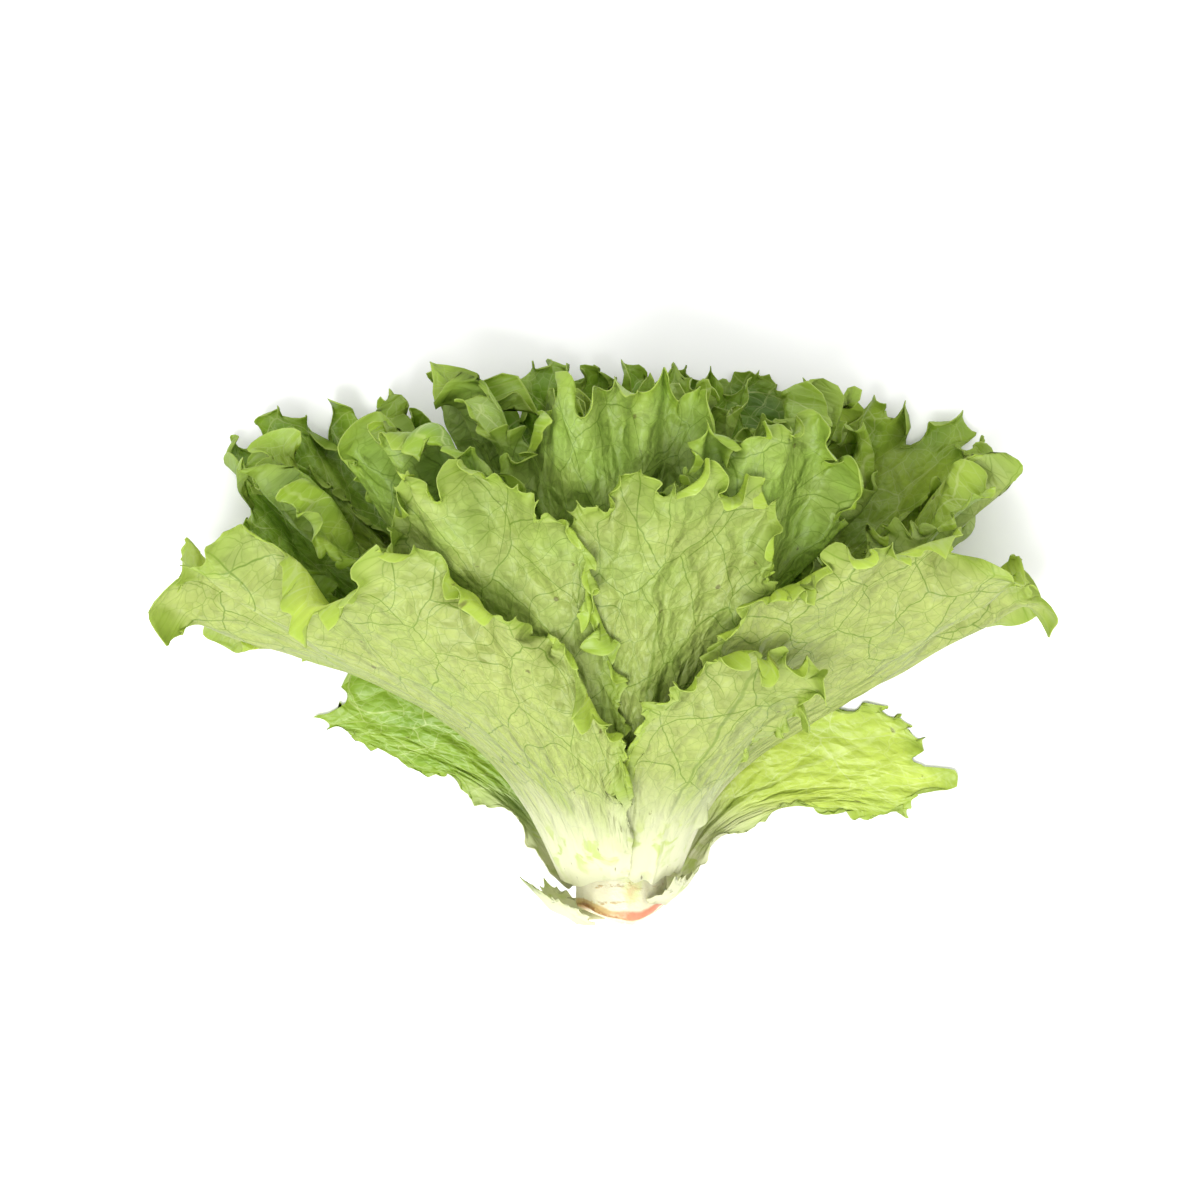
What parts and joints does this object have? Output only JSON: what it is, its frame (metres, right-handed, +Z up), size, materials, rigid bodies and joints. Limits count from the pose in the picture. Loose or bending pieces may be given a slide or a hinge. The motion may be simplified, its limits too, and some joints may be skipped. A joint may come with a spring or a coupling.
{
  "type": "green leaf lettuce",
  "caption": "Loose head of green leaf lettuce lying on its side, with wavy, frilled leaves wrapped round a short cut stem.",
  "frame": {"origin": "middle of the bounding box's bottom face, on the surface that the head lies on", "axes": "+Z up, +Y from the cut stem towards the leaf tips, +X to the right of a viewer who looks down with the stem nearest"},
  "size_m": [0.3112, 0.1994, 0.1161],
  "materials": {
    "leaf": "semi-gloss leaf, paler on its outer face",
    "stem": "moist cream stem with a reddish-brown cut",
    "torn_base": "pale fleshy torn leaf base"
  },
  "bodies": {
    "root": {"stem": "stem", "leaf_under_right": "leaf", "leaf_under_left": "leaf", "leaf_wrap_left": "leaf", "leaf_wrap_front": "leaf", "leaf_back_middle": "leaf", "leaf_wrap_right": "leaf", "leaf_back_left": "leaf", "leaf_second_left": "leaf", "leaf_back_right": "leaf", "leaf_second_middle": "leaf", "leaf_side_left": "leaf", "leaf_side_right": "leaf", "leaf_third_under": "leaf", "leaf_third_right": "leaf", "leaf_third_left": "leaf", "leaf_fourth_right": "leaf", "leaf_fourth_left": "leaf", "leaf_fourth_top": "leaf", "leaf_fifth_under": "leaf", "leaf_fifth_right": "leaf", "leaf_fifth_left": "leaf", "leaf_heart_top": "leaf", "leaf_heart_under": "leaf", "torn_base_left": "torn_base", "torn_base_right": "torn_base"}
  },
  "joints": []
}
